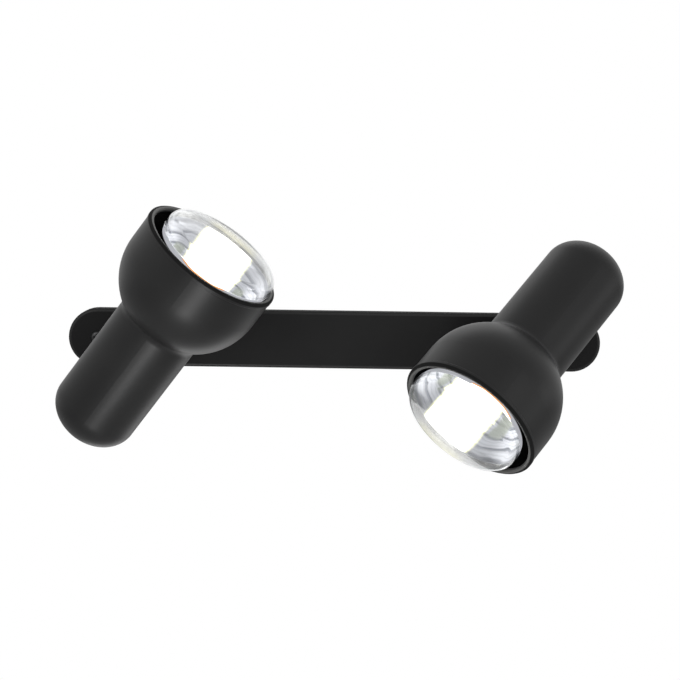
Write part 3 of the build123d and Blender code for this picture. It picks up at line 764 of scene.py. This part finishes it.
def sideScrews(side):
    pivot, axis = tiltJoint(side)
    end = pivot / mm + axis * knuckle["halfWidth"]
    yield side + "_pivot_screw", side + "_swivel", m5, "pivot", [end], [axis]
    place = lampPlace(side)
    front, across, ahead = (place.col[n].to_3d() for n in range(3))
    seat = place.translation / mm - ahead * holder["seat"]
    behind = seat - ahead * holder["sheet"]
    ends = [behind + front * x for x in (-holder["screws"], holder["screws"])]
    yield side + "_lampholder_screws", side + "_head", m4, "bracket", ends, [-ahead] * 2
    level = seat + ahead * holder["terminalLevel"]
    wells = [level + across * y for y in (-holder["terminalFloor"], holder["terminalFloor"])]
    yield side + "_lampholder_terminals", side + "_head", m3, "holder", wells, [-across, across]


def placeScrews():
    tree = buildScrewTree(screwShape)
    made = 0
    sets = [*baseScrews(), *sideScrews("left"), *sideScrews("right")]
    for node, body, size, use, places, directions in sets:
        values = {**size, "Shank Length": shankLengths[use], "Finish": finishOf(node)}
        piece = madeByTree(camelName(node), tree, [place * mm for place in places], directions, values)
        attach(piece, body)
        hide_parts(node)
        made += len(places)
    print("screws made:", made)


placeScrews()


# stage, light and camera

stageLook = {
    "floorLevel": -0.42,
    "floorSize": 12.0,
    "paper": ((0.86, 0.86, 0.86), (0.88, 0.88, 0.88)),
    "paperScale": 4.0,
    "shadowReach": (0.42, 0.756),
    "white": (1, 1, 1, 1),
    "ambient": 0.55,
}


def buildFloor(look):  # paper near the object keeps its shadow, farther off it is plain white
    half, level = look["floorSize"] / 2, look["floorLevel"]
    corners = [(-half, -half, level), (half, -half, level), (half, half, level), (-half, half, level)]
    mesh = bpy.data.meshes.new("floor")
    mesh.from_pydata(corners, [], [(0, 1, 2, 3)])
    floor = addObject("floor", mesh)
    finish = Finish("floorPaper")
    place = finish.place()
    reach = finish.node("VectorMath", {"operation": "LENGTH"}, {0: place}, output="Value")
    seen = finish.node("LightPath", output="Is Camera Ray")
    colour = finish.mix(finish.noise(place, look["paperScale"]), *look["paper"])
    paper = finish.node("BsdfDiffuse", {}, {"Color": colour})
    bright = finish.node("Emission", {}, {"Color": look["white"], "Strength": 1.0})
    far = reach.step(*look["shadowReach"])
    mesh.materials.append(finish.finished(finish.node("MixShader", {}, {0: far * seen, 1: paper, 2: bright})))


def buildWorld(look):  # full white to the camera, mirrors and glass, softer as light
    world = bpy.data.worlds.new("studio")
    world.use_nodes = True
    tree = world.node_tree
    tree.nodes.clear()
    kinds = ("Is Camera Ray", "Is Glossy Ray", "Is Transmission Ray")
    seen, glossy, through = (addNode(tree, "ShaderNodeLightPath", output=kind) for kind in kinds)
    strength = seen.most(glossy).most(through) * (1 - look["ambient"]) + look["ambient"]
    background = addNode(tree, "ShaderNodeBackground", {}, {"Color": look["white"], "Strength": strength})
    end = tree.nodes.new("ShaderNodeOutputWorld")
    tree.links.new(background.socket, end.inputs["Surface"])
    bpy.context.scene.world = world


softboxes = {
    "key": {"place": (-0.9, -1.5, 0.9), "aim": (0, -0.05, 0), "size": (0.9, 0.9), "power": 8.0},
    "fill": {"place": (1.3, -1.2, 0.3), "aim": (0, -0.05, 0), "size": (0.8, 1.2), "power": 5.0},
    "low": {"place": (-0.15, -0.49, -0.33), "aim": (-0.10, -0.12, 0), "size": (0.13, 0.11), "power": 1.45},
    "below": {"place": (-0.05, 0.30, -0.37), "aim": (-0.05, -0.10, 0), "size": (0.5, 0.22), "power": 0.5},
    "above": {"place": (0.05, 0.42, 0.50), "aim": (0.05, -0.10, 0), "size": (0.6, 0.25), "power": 0.34},
    "side": {"place": (0.95, -0.12, -0.02), "aim": (0.12, -0.10, 0), "size": (0.3, 0.3), "power": 0.45},
}


def addSoftbox(name, box):
    light = bpy.data.lights.new(name, "AREA")
    light.shape = "RECTANGLE"
    light.size, light.size_y = box["size"]
    light.energy = box["power"]
    made = addObject(name, light)
    made.location = box["place"]
    made.visible_camera = False
    made.rotation_mode = "QUATERNION"
    made.rotation_quaternion = (Vector(box["aim"]) - Vector(box["place"])).to_track_quat("-Z", "Y")


cameraLook = {  # metres, degrees and pixels of the picture
    "distance": 1.48311,
    "focal": 2189.04,
    "yaw": -0.15,
    "pitch": -4.17,
    "roll": 0.83,
    "centre": (-5.5, -1.65),
    "picture": 680,
    "sensor": 36.0,
    "nearest": 0.05,
}


def placeCamera(look):
    turn = Matrix.Rotation(radians(look["yaw"]), 3, "Z") @ Matrix.Rotation(radians(look["pitch"]), 3, "X")
    right, ahead, up = (turn.col[n] for n in range(3))
    roll = radians(look["roll"])
    across = right * cos(roll) + up * sin(roll)
    upright = up * cos(roll) - right * sin(roll)
    data = bpy.data.cameras.new("camera")
    data.sensor_width = look["sensor"]
    data.lens = look["focal"] / look["picture"] * look["sensor"]
    data.shift_x = -look["centre"][0] / look["picture"]
    data.shift_y = look["centre"][1] / look["picture"]
    data.clip_start = look["nearest"]
    camera = addObject("camera", data)
    axes = Matrix((across, upright, -ahead)).transposed().to_4x4()
    camera.matrix_world = Matrix.Translation(-ahead * look["distance"]) @ axes
    bpy.context.scene.camera = camera


bpy.context.scene.view_settings.view_transform = "Standard"
buildFloor(stageLook)
buildWorld(stageLook)
for name, box in softboxes.items():
    addSoftbox(name + "Softbox", box)
placeCamera(cameraLook)
print("stage, light and camera placed")
